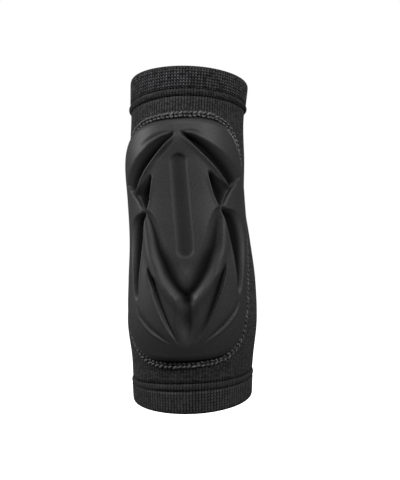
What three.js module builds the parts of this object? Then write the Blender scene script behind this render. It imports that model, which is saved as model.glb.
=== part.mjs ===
// A knitted elbow guard: an elastic ribbed sleeve, filled out as by a slightly bent arm, with a doubled
// cuff at each end and a moulded foam pad stitched over the point of the elbow.
// Millimetres. +Z runs up the arm, -Y points out through the pad, and the origin is in the hollow,
// on the arm's own line at half the sleeve's length.
import * as THREE from 'three';

// Sleeve
const sleeveLength = 235;
const elbowWidth = 79;
const depthShare = 0.94;
const armBend = 23;
const knitWall = 2;
const seamGap = 0.3;
const padGap = 0.5;

// Cuffs, each a welt of doubled knit with a rolled bead where it is turned and stitched down
const upperCuffLength = 20.5;
const lowerCuffLength = 21.5;
const cuffWall = 3.6;
const weltRise = 0.8;
const jointDip = 0.5;
const beadRise = 0.8;
const beadLength = 4.4;
const hemRadius = 2.6;

// Pad
const padLength = 161;
const padWidth = 104;
const padAboveMiddle = 0.5;
const padThickness = 10.5;
const padEdgeThickness = 5.4;
const padRim = 1.6;
const padLeastRise = 2;
const padEdgeRadius = 5;
const padCornerPower = 3.6;
const padTwist = 5;
const padTilt = 3.6;
const creaseSoftness = 4;

// Flat stitch band that holds the pad's edge down
const bandWidth = 4.4;
const bandThickness = 1.2;

// Facets
const facetsRound = 52;
const padSpokes = 112;
const padBackRings = 7;
const outlineSteps = 720;
const creaseSteps = 5;

// How the filled sleeve widens and sways from its lower hem (0) to its upper hem (1).
// width and sway are shares of the elbow's width.
const sections = [
  { at: 0.00, width: 1.090, sway: 0.013 },
  { at: 0.07, width: 1.106, sway: 0.015 },
  { at: 0.14, width: 1.130, sway: 0.021 },
  { at: 0.25, width: 1.197, sway: 0.022 },
  { at: 0.38, width: 1.150, sway: 0.032 },
  { at: 0.50, width: 1.067, sway: 0.026 },
  { at: 0.62, width: 1.018, sway: -0.003 },
  { at: 0.75, width: 1.060, sway: -0.026 },
  { at: 0.87, width: 1.046, sway: -0.030 },
  { at: 1.00, width: 1.084, sway: -0.018 },
];

// How far the joints and hems of the two cuffs stray upwards from their even heights, round the sleeve
// in degrees from the pad's middle to its right. The columns are shares of the elbow's width.
const cuffStray = [
  { at: -180, upperHem: 0, upperJoint: -0.013, lowerJoint: -0.013, lowerHem: 0 },
  { at: -90, upperHem: 0.006, upperJoint: -0.057, lowerJoint: -0.057, lowerHem: -0.006 },
  { at: 0, upperHem: -0.003, upperJoint: -0.006, lowerJoint: 0, lowerHem: 0.005 },
  { at: 90, upperHem: -0.019, upperJoint: -0.025, lowerJoint: 0.006, lowerHem: 0.025 },
  { at: 180, upperHem: 0, upperJoint: -0.013, lowerJoint: -0.013, lowerHem: 0 },
];

// How wide the pad is on its two sides against its length, as shares of half its nominal width.
const padSides = [
  { at: 0.0, left: 1.00, right: 0.93 },
  { at: 0.3, left: 0.95, right: 0.86 },
  { at: 0.6, left: 0.96, right: 0.93 },
  { at: 0.85, left: 1.02, right: 0.95 },
  { at: 1.0, left: 1.06, right: 0.94 },
];

// The moulded creases of the pad's right half, mirrored on its left. A row is one point of a crease:
// across, a share of half the pad's width from its middle; along, a share of the pad's length from its
// lower end; depth, a share of its thickness; inward and outward, how far the surface takes to climb
// out of the crease on the side of the pad's middle and on the other side, as shares of its half width.
const creaseColumns = ['across', 'along', 'depth', 'inward', 'outward'];
const creases = {
  upperValley: [
    [0.030, 0.938, 0.04, 0.020, 0.040],
    [0.175, 0.905, 0.40, 0.040, 0.110],
    [0.285, 0.868, 0.54, 0.045, 0.150],
    [0.405, 0.820, 0.60, 0.045, 0.165],
    [0.508, 0.772, 0.62, 0.045, 0.175],
    [0.595, 0.725, 0.62, 0.045, 0.180],
    [0.660, 0.690, 0.60, 0.045, 0.180],
  ],
  facet: [
    [0.325, 0.792, 0.02, 0.020, 0.050],
    [0.342, 0.762, 0.34, 0.025, 0.120],
    [0.358, 0.720, 0.42, 0.030, 0.170],
    [0.388, 0.675, 0.40, 0.030, 0.130],
    [0.427, 0.630, 0.20, 0.025, 0.050],
  ],
  lowerValley: [
    [0.447, 0.614, 0.20, 0.025, 0.050],
    [0.480, 0.580, 0.46, 0.035, 0.180],
    [0.508, 0.540, 0.54, 0.035, 0.210],
    [0.550, 0.471, 0.52, 0.035, 0.180],
    [0.593, 0.400, 0.40, 0.030, 0.120],
    [0.622, 0.335, 0.20, 0.025, 0.080],
    [0.632, 0.262, 0.03, 0.020, 0.040],
  ],
  lowerPoint: [
    [0.437, 0.622, 0.10, 0.040, 0.030],
    [0.405, 0.595, 0.20, 0.070, 0.050],
    [0.372, 0.541, 0.28, 0.095, 0.080],
    [0.333, 0.466, 0.32, 0.105, 0.090],
    [0.275, 0.414, 0.36, 0.110, 0.100],
    [0.215, 0.364, 0.39, 0.115, 0.100],
    [0.123, 0.313, 0.42, 0.120, 0.100],
    [0.040, 0.276, 0.44, 0.130, 0.090],
    [-0.080, 0.225, 0.36, 0.130, 0.080],
  ],
  innerPetal: [
    [0.446, 0.410, 0.02, 0.040, 0.040],
    [0.424, 0.366, 0.36, 0.120, 0.060],
    [0.385, 0.315, 0.44, 0.140, 0.070],
    [0.330, 0.255, 0.43, 0.140, 0.070],
    [0.280, 0.205, 0.36, 0.130, 0.070],
    [0.215, 0.158, 0.26, 0.110, 0.060],
    [0.105, 0.088, 0.03, 0.050, 0.040],
  ],
  outerPetal: [
    [0.665, 0.262, 0.02, 0.040, 0.040],
    [0.625, 0.222, 0.20, 0.080, 0.050],
    [0.580, 0.192, 0.26, 0.090, 0.055],
    [0.500, 0.163, 0.28, 0.090, 0.055],
    [0.400, 0.134, 0.26, 0.085, 0.055],
    [0.300, 0.109, 0.18, 0.075, 0.050],
    [0.185, 0.086, 0.02, 0.040, 0.040],
  ],
};

// How the rings of the pad's mesh are spread, as shares of the way from its middle to the raised lozenge's
// edge, from there to the line of the inner petals, on to the line of the outer creases, and to its edge.
const ringSpread = [
  [0.24, 0.46, 0.66, 0.82, 0.92, 1],
  [0.25, 0.5, 0.75, 1],
  [0.25, 0.5, 0.75, 1],
  [0.25, 0.5, 0.7, 0.85, 0.95, 1],
];

// The innermost rings keep to an even oval, and turn to the lozenge's outline by this share of the way.
const evenRingsTo = 0.8;
const evenRingShare = 0.5;

// Where the line of the outer creases runs beside the upper valley, from the pad's top middle to the
// flap, and where it and the line of the inner petals reach the middle again at the bottom.
const shoulderColumns = ['across', 'along'];
const shoulder = [
  [0.000, 0.970],
  [0.400, 0.945],
  [0.680, 0.880],
  [0.840, 0.800],
  [0.780, 0.740],
  [0.620, 0.690],
  [0.510, 0.630],
];
const bottomEnds = { innerPetal: 0.075, outerPetal: 0.05 };

// The raised flap that closes the lower end of the upper valley and of the facet beside it.
const flapColumns = ['across', 'along'];
const flap = [
  [0.400, 0.590],
  [0.437, 0.628],
  [0.553, 0.690],
  [0.690, 0.730],
  [1.200, 0.820],
];
const flapStep = 0.16;

// The groove down the pad's middle below its point, and the shallow trough of its middle panel with a
// plain sunk field in it. Depths are shares of the thickness, widths shares of half the pad's width.
const groove = { from: 0.08, to: 0.29, fade: 0.05, width: 0.12, depth: 0.20 };
const trough = { from: 0.30, to: 0.92, fade: 0.10, width: 0.42, depth: 0.15 };
const field = { from: 0.425, to: 0.845, fade: 0.04, width: 0.115, soft: 0.08, depth: 0.11 };

const tiny = 1e-9;
const clamp01 = (x) => Math.min(1, Math.max(0, x));
const smoothStep = (x) => clamp01(x) ** 2 * (3 - 2 * clamp01(x));
const named = (columns, rows) => rows.map((row) => Object.fromEntries(columns.map((c, i) => [c, row[i]])));

// A smooth curve through one column of a table whose rows are placed by their own 'at'.
function smoothly(rows, column, at) {
  const last = rows.length - 1;
  const slope = (i) => {
    const a = rows[Math.max(0, i - 1)];
    const b = rows[Math.min(last, i + 1)];
    return (b[column] - a[column]) / (b.at - a.at);
  };
  const x = Math.min(rows[last].at, Math.max(rows[0].at, at));
  const i = Math.min(last - 1, rows.findLastIndex((row) => row.at <= x));
  const span = rows[i + 1].at - rows[i].at;
  const t = (x - rows[i].at) / span;
  const [t2, t3] = [t * t, t * t * t];
  return (2 * t3 - 3 * t2 + 1) * rows[i][column] + (t3 - 2 * t2 + t) * span * slope(i)
    + (3 * t2 - 2 * t3) * rows[i + 1][column] + (t3 - t2) * span * slope(i + 1);
}

// Half width and half depth of the sleeve's outer face, at a height measured along the arm.
function halfSizes(height) {
  const halfWidth = smoothly(sections, 'width', height / sleeveLength) * elbowWidth / 2;
  return { halfWidth, halfDepth: halfWidth * depthShare };
}

// A point of the guard: height along the arm from the lower hem, angle round it from the pad's middle,
// and rise above the knit's outer face.
const bendRadius = sleeveLength / THREE.MathUtils.degToRad(armBend);
function guardPoint(height, angle, rise) {
  const { halfWidth, halfDepth } = halfSizes(height);
  const lean = (height - sleeveLength / 2) / bendRadius;
  const out = (halfDepth + rise) * Math.cos(angle);
  const sway = smoothly(sections, 'sway', height / sleeveLength) * elbowWidth;
  return new THREE.Vector3(
    (halfWidth + rise) * Math.sin(angle) + sway,
    bendRadius * (1 - Math.cos(lean)) - out * Math.cos(lean),
    bendRadius * Math.sin(lean) + out * Math.sin(lean),
  );
}

// A closed body from rows of points, each row a closed ring. Rows join to the next one, and the last
// to the first where the body is a loop; otherwise each end closes on a point of its own.
function bodyOf(rows, ends = null) {
  const count = rows[0].length;
  const points = [...rows.flat(), ...(ends ?? [])];
  const index = [];
  const joined = ends ? rows.length - 1 : rows.length;
  for (let r = 0; r < joined; r += 1) {
    const next = (r + 1) % rows.length;
    for (let i = 0; i < count; i += 1) {
      const j = (i + 1) % count;
      index.push(r * count + i, r * count + j, next * count + j);
      index.push(r * count + i, next * count + j, next * count + i);
    }
  }
  if (ends) {
    const [first, last] = [rows.length * count, rows.length * count + 1];
    for (let i = 0; i < count; i += 1) {
      const j = (i + 1) % count;
      index.push(first, j, i);
      index.push(last, (rows.length - 1) * count + i, (rows.length - 1) * count + j);
    }
  }
  const geometry = new THREE.BufferGeometry().setFromPoints(points);
  geometry.setIndex(index);
  geometry.computeVertexNormals();
  return geometry;
}

// A ring swept round the arm from a closed outline of {height, rise, follows} points, outside first,
// upwards. A point follows the straying joints and hems by the shares it names.
function sweptRing(outline) {
  const turns = Array.from({ length: facetsRound }, (_, i) => (i / facetsRound) * 360 - 180);
  return bodyOf(outline.map(({ height, rise, follows }) => turns.map((turn) => {
    const strays = Object.entries(follows).map(([line, share]) => share * smoothly(cuffStray, line, turn));
    const stray = strays.reduce((sum, one) => sum + one, 0) * elbowWidth;
    return guardPoint(height + stray, THREE.MathUtils.degToRad(turn), rise);
  })));
}

// Knitted tube of one thickness, between the two cuffs.
function sleeveBody() {
  const low = lowerCuffLength + seamGap;
  const high = sleeveLength - upperCuffLength - seamGap;
  const between = sections.map((row) => row.at * sleeveLength).filter((h) => h > low && h < high);
  const stations = [low, ...between, high];
  const halved = stations.flatMap((h, i) => (i ? [(stations[i - 1] + h) / 2, h] : [h]));
  const follows = (height) => ({
    lowerJoint: clamp01(1 - (height - low) / lowerCuffLength),
    upperJoint: clamp01(1 - (high - height) / upperCuffLength),
  });
  const outside = halved.map((height) => ({ height, rise: 0, follows: follows(height) }));
  const inside = stations.map((height) => ({ height, rise: -knitWall, follows: follows(height) })).reverse();
  return sweptRing([...outside, ...inside]);
}

// Doubled welt. Its outline is drawn from the joint with the sleeve (0) to the hem (1) and turned
// over for the cuff at the lower end.
function cuff(length, atLowerEnd) {
  const innerRise = weltRise - cuffWall;
  const middle = (weltRise + innerRise) / 2;
  const half = cuffWall / 2;
  const hemArc = [70, 0, -70].map((degrees) => {
    const turn = THREE.MathUtils.degToRad(degrees);
    return { from: length - hemRadius * (1 - Math.cos(turn)), rise: middle + half * Math.sin(turn) };
  });
  const outline = [
    { from: 0, rise: weltRise - jointDip },
    { from: beadLength / 2, rise: weltRise + beadRise },
    { from: beadLength, rise: weltRise },
    { from: length / 2, rise: weltRise },
    ...hemArc,
    { from: length / 2, rise: innerRise },
    { from: 0, rise: innerRise },
  ];
  const placed = outline.map(({ from, rise }) => ({
    height: atLowerEnd ? lowerCuffLength - from : sleeveLength - upperCuffLength + from,
    rise,
    follows: atLowerEnd
      ? { lowerJoint: 1 - from / length, lowerHem: from / length }
      : { upperJoint: 1 - from / length, upperHem: from / length },
  }));
  return sweptRing(atLowerEnd ? placed.reverse() : placed);
}

// The pad's own plane: x across from its middle and y along from its lower end, both in millimetres
// on the sleeve's outer face.
function padPoint(x, y, rise) {
  const tilt = x * Math.tan(THREE.MathUtils.degToRad(padTilt));
  const height = sleeveLength / 2 + padAboveMiddle - padLength / 2 + y + tilt;
  const { halfWidth, halfDepth } = halfSizes(height);
  const turned = THREE.MathUtils.degToRad(padTwist) * (0.5 - y / padLength);
  return guardPoint(height, x / ((halfWidth + halfDepth) / 2) + turned, rise);
}

// A point of the pad's outline, a rounded oval that is wider over the upper arm.
function outlinePoint(turn) {
  const power = 2 / padCornerPower;
  const along = 0.5 + 0.5 * Math.sign(Math.sin(turn)) * Math.abs(Math.sin(turn)) ** power;
  const side = Math.sign(Math.cos(turn)) * Math.abs(Math.cos(turn)) ** power;
  const halfWidth = smoothly(padSides, side < 0 ? 'left' : 'right', along) * padWidth / 2;
  return new THREE.Vector2(side * halfWidth, along * padLength);
}

// The outline in equal steps, one for each spoke of the pad's mesh.
function evenOutline() {
  const turnOf = (i) => (i / outlineSteps) * 2 * Math.PI;
  const fine = Array.from({ length: outlineSteps + 1 }, (_, i) => outlinePoint(turnOf(i)));
  const lengths = fine.map(() => 0);
  for (let i = 1; i <= outlineSteps; i += 1) lengths[i] = lengths[i - 1] + fine[i].distanceTo(fine[i - 1]);
  return Array.from({ length: padSpokes }, (_, spoke) => {
    const goal = (spoke / padSpokes) * lengths[outlineSteps];
    const i = Math.max(1, lengths.findIndex((length) => length >= goal));
    const t = (goal - lengths[i - 1]) / (lengths[i] - lengths[i - 1]);
    return fine[i - 1].clone().lerp(fine[i], t);
  });
}
const padOutline = evenOutline();
const padMiddle = new THREE.Vector2(0, padLength / 2);

// A crease's points in millimetres, with smooth steps between its rows.
function creaseLine(columns, rows, steps) {
  const table = named(columns, rows).map((row, i) => ({ ...row, at: i }));
  return Array.from({ length: (rows.length - 1) * steps + 1 }, (_, i) => {
    const point = Object.fromEntries(columns.map((column) => [column, smoothly(table, column, i / steps)]));
    return { ...point, x: point.across * padWidth / 2, y: point.along * padLength };
  });
}
const creaseLines = Object.entries(creases).map(([name, rows]) => ({
  name,
  line: creaseLine(creaseColumns, rows, creaseSteps),
}));
const flapLine = creaseLine(flapColumns, flap, 1);

// The lines of the right half that the mesh's rings follow, each from the top round to the bottom: the
// raised lozenge's outline, the inner petal's crease, and the shoulder with the outer creases.
const lineNamed = (wanted) => creaseLines.find(({ name }) => name === wanted).line;
const ringLines = [
  [
    { x: 0, y: lineNamed('upperValley')[0].y },
    ...lineNamed('upperValley').slice(0, -creaseSteps),
    ...lineNamed('lowerPoint').filter(({ x }) => x > 0),
    { x: 0, y: lineNamed('lowerPoint').find(({ x }) => x <= 0).y },
  ],
  [...lineNamed('innerPetal'), { x: 0, y: bottomEnds.innerPetal * padLength }],
  [
    ...creaseLine(shoulderColumns, shoulder, 1),
    ...lineNamed('lowerValley').slice(creaseSteps),
    ...lineNamed('outerPetal'),
    { x: 0, y: bottomEnds.outerPetal * padLength },
  ],
];

// Share of the way from the pad's middle to a place on its edge at which that way crosses a line.
function crossing(edge, line) {
  const way = { x: Math.abs(edge.x - padMiddle.x), y: edge.y - padMiddle.y };
  for (let i = 0; i + 1 < line.length; i += 1) {
    const [ax, ay] = [line[i].x - padMiddle.x, line[i].y - padMiddle.y];
    const [dx, dy] = [line[i + 1].x - line[i].x, line[i + 1].y - line[i].y];
    const across = way.x * dy - way.y * dx;
    const share = (ax * dy - ay * dx) / across;
    const t = (ax * way.y - ay * way.x) / across;
    if (share > 0 && share < 1 && t > -tiny && t < 1 + tiny) return share;
  }
  return null;
}

// The nearest place on a line: how far off it is, on which side, and how far along its segment.
function nearestOn(line, x, y) {
  let best = { distance: Infinity };
  for (let i = 0; i + 1 < line.length; i += 1) {
    const [a, b] = [line[i], line[i + 1]];
    const [dx, dy] = [b.x - a.x, b.y - a.y];
    const t = clamp01(((x - a.x) * dx + (y - a.y) * dy) / (dx * dx + dy * dy));
    const [ex, ey] = [x - a.x - t * dx, y - a.y - t * dy];
    const distance = Math.hypot(ex, ey);
    if (distance < best.distance) best = { distance, t, a, b, leftSide: dx * ey - dy * ex > 0 };
  }
  return best;
}

// A band along the pad's middle that fades out at its two ends.
const fadeBand = ({ from, to, fade }, along) => (
  smoothStep((along - from) / fade) * smoothStep((to - along) / fade)
);

// How deep the mould has pressed the pad's face at a place.
function pressedDepth(x, y) {
  const [side, along] = [Math.abs(x), y / padLength];
  const beside = nearestOn(flapLine, side, y);
  const overFlap = beside.leftSide ? 1 : -1;
  const openShare = clamp01(0.5 + (overFlap * beside.distance) / (flapStep * padWidth / 2));
  let deepest = 0;
  for (const { name, line } of creaseLines) {
    const { distance, t, a, b, leftSide } = nearestOn(line, side, y);
    const mix = (column) => a[column] + (b[column] - a[column]) * t;
    const reach = Math.max(creaseSoftness, mix(leftSide ? 'outward' : 'inward') * padWidth / 2);
    const open = name === 'upperValley' || name === 'facet' ? openShare : 1;
    deepest = Math.max(deepest, open * mix('depth') * (1 - smoothStep(distance / reach)));
  }
  const across = side / (padWidth / 2);
  const grooved = groove.depth * (1 - smoothStep(across / groove.width)) * fadeBand(groove, along);
  const troughed = trough.depth * (1 - smoothStep(across / trough.width)) * fadeBand(trough, along);
  const sunk = field.depth * (1 - smoothStep((across - field.width + field.soft) / field.soft))
    * fadeBand(field, along);
  return (Math.max(deepest, grooved) + troughed + sunk) * padThickness;
}

// Height of the pad's face above the knit. share runs from the pad's middle (0) to its edge (1).
function padRise(point, share, edgeDistance) {
  const dome = padEdgeThickness + (padThickness - padEdgeThickness) * (1 - share * share);
  const intoEdge = clamp01(edgeDistance / padEdgeRadius);
  const rounded = Math.sqrt(1 - (1 - intoEdge) ** 2);
  const full = Math.max(padLeastRise, dome - pressedDepth(point.x, point.y));
  return padRim + (full - padRim) * rounded;
}

// Moulded foam pad in its smooth cover, with its back lying on the knit.
function elbowPad() {
  const place = (share, spoke) => padMiddle.clone().lerp(padOutline[spoke], share);
  const ring = (shareOf, riseOf) => padOutline.map((edge, spoke) => {
    const share = shareOf(spoke);
    const point = place(share, spoke);
    return padPoint(point.x, point.y, riseOf(point, share, edge));
  });
  const face = (point, share, edge) => padRise(point, share, (1 - share) * edge.distanceTo(padMiddle));
  const stops = padOutline.map((edge) => {
    const [lozenge, petal, outer] = ringLines.map((line) => crossing(edge, line));
    return [0, lozenge, petal ?? (lozenge + outer) / 2, outer, 1];
  });
  const front = ringSpread.flatMap((parts, leg) => parts.map((part) => (spoke) => {
    const [from, to] = [stops[spoke][leg], stops[spoke][leg + 1]];
    const follows = leg > 0 ? 1 : smoothStep(part / evenRingsTo);
    const reached = evenRingShare + (to - evenRingShare) * follows;
    return from + (reached - from) * part;
  }));
  const back = Array.from({ length: padBackRings }, (_, i) => (i + 1) / padBackRings);
  const rows = [
    ...back.map((share) => ring(() => share, () => padGap)),
    ...front.reverse().map((shareOf) => ring(shareOf, face)),
  ];
  const ends = [
    padPoint(padMiddle.x, padMiddle.y, padGap),
    padPoint(padMiddle.x, padMiddle.y, padRise(padMiddle, 0, padWidth / 2)),
  ];
  return bodyOf(rows, ends);
}

// Flat band of lock stitch that runs round the pad, just outside its edge.
function stitchBand() {
  const outline = [
    { off: seamGap, rise: padGap },
    { off: seamGap + bandWidth, rise: padGap },
    { off: seamGap + bandWidth * 0.92, rise: padGap + bandThickness * 0.7 },
    { off: seamGap + bandWidth / 2, rise: padGap + bandThickness },
    { off: seamGap, rise: padGap + bandThickness * 0.8 },
  ];
  const outward = padOutline.map((_, spoke) => {
    const before = padOutline[(spoke + padSpokes - 1) % padSpokes];
    const after = padOutline[(spoke + 1) % padSpokes];
    return new THREE.Vector2(after.y - before.y, before.x - after.x).normalize();
  });
  return bodyOf(outline.map(({ off, rise }) => padOutline.map((edge, spoke) => {
    const point = edge.clone().addScaledVector(outward[spoke], off);
    return padPoint(point.x, point.y, rise);
  })));
}

const knitLook = { color: 0x2b2b2c, roughness: 0.92, metalness: 0 };
const cuffLook = { color: 0x303031, roughness: 0.92, metalness: 0 };
const coverLook = { color: 0x3a3a3b, roughness: 0.58, metalness: 0 };
const threadLook = { color: 0x4a4a4b, roughness: 0.8, metalness: 0 };

const guard = new THREE.Group();
guard.name = 'elbow_guard';
for (const [name, geometry, look] of [
  ['knit_sleeve', sleeveBody(), knitLook],
  ['upper_cuff', cuff(upperCuffLength, false), cuffLook],
  ['lower_cuff', cuff(lowerCuffLength, true), cuffLook],
  ['elbow_pad', elbowPad(), coverLook],
  ['stitch_band', stitchBand(), threadLook],
]) {
  const piece = new THREE.Mesh(geometry, new THREE.MeshStandardMaterial(look));
  piece.name = name;
  guard.add(piece);
}

export default guard;
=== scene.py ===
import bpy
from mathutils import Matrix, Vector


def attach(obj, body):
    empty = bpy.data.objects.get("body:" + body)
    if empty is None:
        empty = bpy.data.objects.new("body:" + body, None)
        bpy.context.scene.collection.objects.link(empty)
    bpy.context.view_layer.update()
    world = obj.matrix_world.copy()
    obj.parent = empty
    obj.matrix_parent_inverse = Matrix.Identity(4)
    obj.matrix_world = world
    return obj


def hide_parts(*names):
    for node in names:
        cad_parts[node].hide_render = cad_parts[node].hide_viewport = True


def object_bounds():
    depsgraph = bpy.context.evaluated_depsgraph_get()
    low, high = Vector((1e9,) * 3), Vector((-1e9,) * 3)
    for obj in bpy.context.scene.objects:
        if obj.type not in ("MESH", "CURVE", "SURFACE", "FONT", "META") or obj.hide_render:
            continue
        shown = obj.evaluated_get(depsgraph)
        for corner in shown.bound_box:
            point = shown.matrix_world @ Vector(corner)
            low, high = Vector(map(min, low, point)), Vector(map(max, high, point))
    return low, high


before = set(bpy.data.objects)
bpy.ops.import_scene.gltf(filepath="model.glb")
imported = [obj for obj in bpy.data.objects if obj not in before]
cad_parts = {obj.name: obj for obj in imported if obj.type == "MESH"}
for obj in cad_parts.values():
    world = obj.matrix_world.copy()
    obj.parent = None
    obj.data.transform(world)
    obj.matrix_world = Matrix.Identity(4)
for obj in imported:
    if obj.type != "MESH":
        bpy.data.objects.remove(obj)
cad_box = [list(corner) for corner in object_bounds()]

import math

import bpy
import numpy as np


# Knit sleeve
# The sleeve is one tube of elastic rib knit, knitted round, so its ribs run unbroken up the arm.
# Worn, it takes the arm's form: nearly round, fuller below the elbow and bent back by some degrees.
MM = 0.001
SLEEVE_LENGTH = 235
ELBOW_WIDTH = 79
DEPTH_SHARE = 0.94
ARM_BEND = math.radians(23)
BEND_RADIUS = SLEEVE_LENGTH / ARM_BEND
UPPER_CUFF_LENGTH = 20.5
LOWER_CUFF_LENGTH = 21.5
SEAM_GAP = 0.3
WELD_DISTANCE = 0.02
KNIT_WALL = 2
SLEEVE_OUTER_ROWS = 60
SLEEVE_INNER_ROWS = 16

# The ribs: how many go round, how high they stand, how full their section is, and how much of their
# height is left on the inside.
RIBS = 126
STEPS_PER_RIB = 6
RIB_HEIGHT = 0.42
RIB_ROUNDNESS = 2.2
INNER_RIB_SHARE = 0.6

# The stitches in a rib: how high one is, how steeply its two legs slant, how far they stand out, how
# far apart the lint on them lies and how high it is against them, and how much brighter than most a
# stitch may be, as a share of how much darker.
COURSE_SPACING = 1.5
STITCH_SLANT = 1.3
STITCH_RELIEF = 0.22
LINT_SPACING = 1.1
LINT_SHARE = 1.4
BRIGHT_SHARE = 0.6

# How the filled sleeve widens and sways from its lower hem (0) to its upper hem (1).
SECTIONS = [
    # at, width, sway, both as shares of the elbow's width
    (0.00, 1.090, 0.013),
    (0.07, 1.106, 0.015),
    (0.14, 1.130, 0.021),
    (0.25, 1.197, 0.022),
    (0.38, 1.150, 0.032),
    (0.50, 1.067, 0.026),
    (0.62, 1.018, -0.003),
    (0.75, 1.060, -0.026),
    (0.87, 1.046, -0.030),
    (1.00, 1.084, -0.018),
]

# How far the joints and hems of the two cuffs stray upwards from their even heights, round the sleeve
# in degrees from the pad's middle to its right.
CUFF_STRAY = [
    # turn, upper hem, upper joint, lower joint, lower hem, all as shares of the elbow's width
    (-180, 0, -0.013, -0.013, 0),
    (-90, 0.006, -0.057, -0.057, -0.006),
    (0, -0.003, -0.006, 0, 0.005),
    (90, -0.019, -0.025, 0.006, 0.025),
    (180, 0, -0.013, -0.013, 0),
]
UPPER_HEM, UPPER_JOINT, LOWER_JOINT, LOWER_HEM = 1, 2, 3, 4


def smoothly(rows, column, at):
    """A smooth curve through one column of a table whose first column places its rows."""
    table = np.array(rows, float)
    places, values = table[:, 0], table[:, column]
    slopes = np.empty_like(values)
    slopes[1:-1] = (values[2:] - values[:-2]) / (places[2:] - places[:-2])
    slopes[0] = (values[1] - values[0]) / (places[1] - places[0])
    slopes[-1] = (values[-1] - values[-2]) / (places[-1] - places[-2])
    x = np.clip(at, places[0], places[-1])
    i = np.clip(np.searchsorted(places, x, side="right") - 1, 0, len(places) - 2)
    span = places[i + 1] - places[i]
    t = (x - places[i]) / span
    start = (2 * t**3 - 3 * t**2 + 1) * values[i] + (t**3 - 2 * t**2 + t) * span * slopes[i]
    end = (3 * t**2 - 2 * t**3) * values[i + 1] + (t**3 - t**2) * span * slopes[i + 1]
    return start + end


def half_sizes(height):
    """Half width and half depth of the sleeve at a height along the arm, in millimetres."""
    half_width = smoothly(SECTIONS, 1, height / SLEEVE_LENGTH) * ELBOW_WIDTH / 2
    return half_width, half_width * DEPTH_SHARE


def guard_points(height, angle, rise):
    """Places on the guard in metres, from the height along the arm, the angle round it and the rise
    above the knit's face, in millimetres and radians."""
    half_width, half_depth = half_sizes(height)
    lean = (height - SLEEVE_LENGTH / 2) / BEND_RADIUS
    out = (half_depth + rise) * np.cos(angle)
    sway = smoothly(SECTIONS, 2, height / SLEEVE_LENGTH) * ELBOW_WIDTH
    x = (half_width + rise) * np.sin(angle) + sway
    y = BEND_RADIUS * (1 - np.cos(lean)) - out * np.cos(lean)
    z = BEND_RADIUS * np.sin(lean) + out * np.sin(lean)
    return np.stack([x, y, z], axis=-1) * MM


def new_grid(name, across, along):
    """A flat grid of faces, and where each of its vertices lies from 0 to 1 across and along it."""
    bpy.ops.object.select_all(action="DESELECT")
    bpy.ops.mesh.primitive_grid_add(x_subdivisions=across, y_subdivisions=along, size=1)
    piece = bpy.context.object
    piece.name = name
    piece.data.name = name
    flat = np.empty(len(piece.data.vertices) * 3)
    piece.data.vertices.foreach_get("co", flat)
    flat = flat.reshape(-1, 3)
    return piece, flat[:, 0] + 0.5, flat[:, 1] + 0.5


def move_vertices(piece, points):
    """Puts every vertex of a piece at its place, in metres."""
    piece.data.vertices.foreach_set("co", np.ascontiguousarray(points, float).ravel())
    piece.data.update()


def scale_uv(piece, across, along):
    """Stretches a piece's UV map so that one unit is one repeat of its pattern."""
    layer = piece.data.uv_layers[0].data
    uv = np.empty(len(layer) * 2)
    layer.foreach_get("uv", uv)
    uv = uv.reshape(-1, 2) * [across, along]
    layer.foreach_set("uv", uv.ravel())


def close_seams(piece):
    """Merges the edges of a rolled-up grid and turns its faces outwards."""
    bpy.ops.object.select_all(action="DESELECT")
    piece.select_set(True)
    bpy.context.view_layer.objects.active = piece
    bpy.ops.object.mode_set(mode="EDIT")
    bpy.ops.mesh.select_all(action="SELECT")
    bpy.ops.mesh.remove_doubles(threshold=WELD_DISTANCE * MM)
    bpy.ops.mesh.normals_make_consistent(inside=False)
    bpy.ops.object.mode_set(mode="OBJECT")
    bpy.ops.object.shade_smooth()


def rib_rise(round_share):
    """How far the ribs stand out, from 0 in the furrow between two ribs to 1 on the crown of one."""
    from_crown = np.abs(2 * np.mod(round_share * RIBS, 1) - 1)
    return 1 - from_crown**RIB_ROUNDNESS


def linear(colour):
    """An sRGB hex colour as linear RGBA."""
    channels = [int(colour[i:i + 2], 16) / 255 for i in (1, 3, 5)]
    return [c / 12.92 if c <= 0.04045 else ((c + 0.055) / 1.055) ** 2.4 for c in channels] + [1]


def add_node(tree, kind, inputs=None, **settings):
    """Adds a node with its settings. An input is given a value, or linked where it is a socket."""
    node = tree.nodes.new(kind)
    for setting, value in settings.items():
        setattr(node, setting, value)
    for socket, value in (inputs or {}).items():
        if isinstance(value, bpy.types.NodeSocket):
            tree.links.new(value, node.inputs[socket])
        else:
            node.inputs[socket].default_value = value
    return node


def new_material(name):
    """A new material with its node tree and its shader."""
    material = bpy.data.materials.new(name)
    material.use_nodes = True
    return material, material.node_tree, material.node_tree.nodes["Principled BSDF"]


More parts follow.
